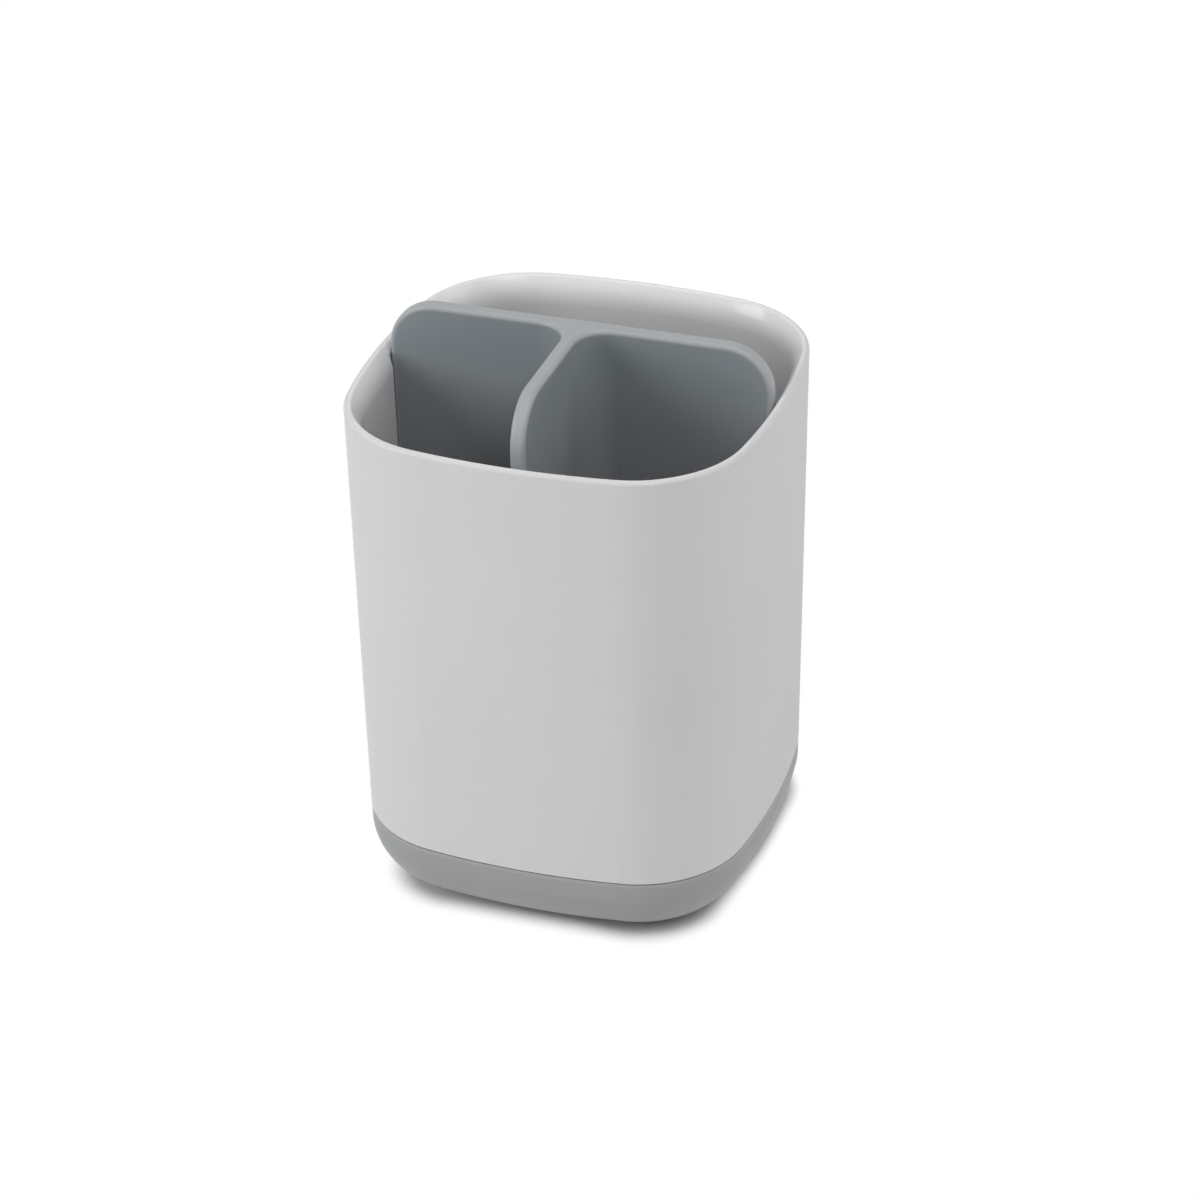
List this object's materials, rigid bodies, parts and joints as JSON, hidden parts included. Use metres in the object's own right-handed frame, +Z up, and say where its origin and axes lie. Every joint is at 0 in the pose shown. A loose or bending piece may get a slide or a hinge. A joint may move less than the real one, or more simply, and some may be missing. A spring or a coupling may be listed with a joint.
{
  "type": "toothbrush holder",
  "caption": "Free-standing square bathroom caddy: a soft-rimmed sleeve on a vented base with rubber feet, and a lift-out T-shaped divider for brushes and toothpaste.",
  "frame": {"origin": "on the table under the centre of the holder", "axes": "+Z up, +Y towards the wide compartment behind the plate, +X to the right as seen from the two small compartments"},
  "size_m": [0.092, 0.092, 0.1279],
  "materials": {
    "sleeve_plastic": "satin light grey, fine moulded texture",
    "base_plastic": "satin mid grey",
    "divider_plastic": "satin mid grey",
    "foot_rubber": "matt dark grey"
  },
  "bodies": {
    "base": {"base": "base_plastic", "foot_front_left": "foot_rubber", "foot_front_right": "foot_rubber", "foot_rear_left": "foot_rubber", "foot_rear_right": "foot_rubber"},
    "sleeve": {"outer_sleeve": "sleeve_plastic"},
    "divider": {"divider": "divider_plastic"}
  },
  "joints": [
    {"name": "sleeve_lift", "type": "slide", "parent": "base", "child": "sleeve", "axis": [0, 0, 1], "range_m": [0, 0.06]},
    {"name": "divider_lift", "type": "slide", "parent": "sleeve", "child": "divider", "axis": [0, 0, 1], "range_m": [0, 0.12]}
  ]
}
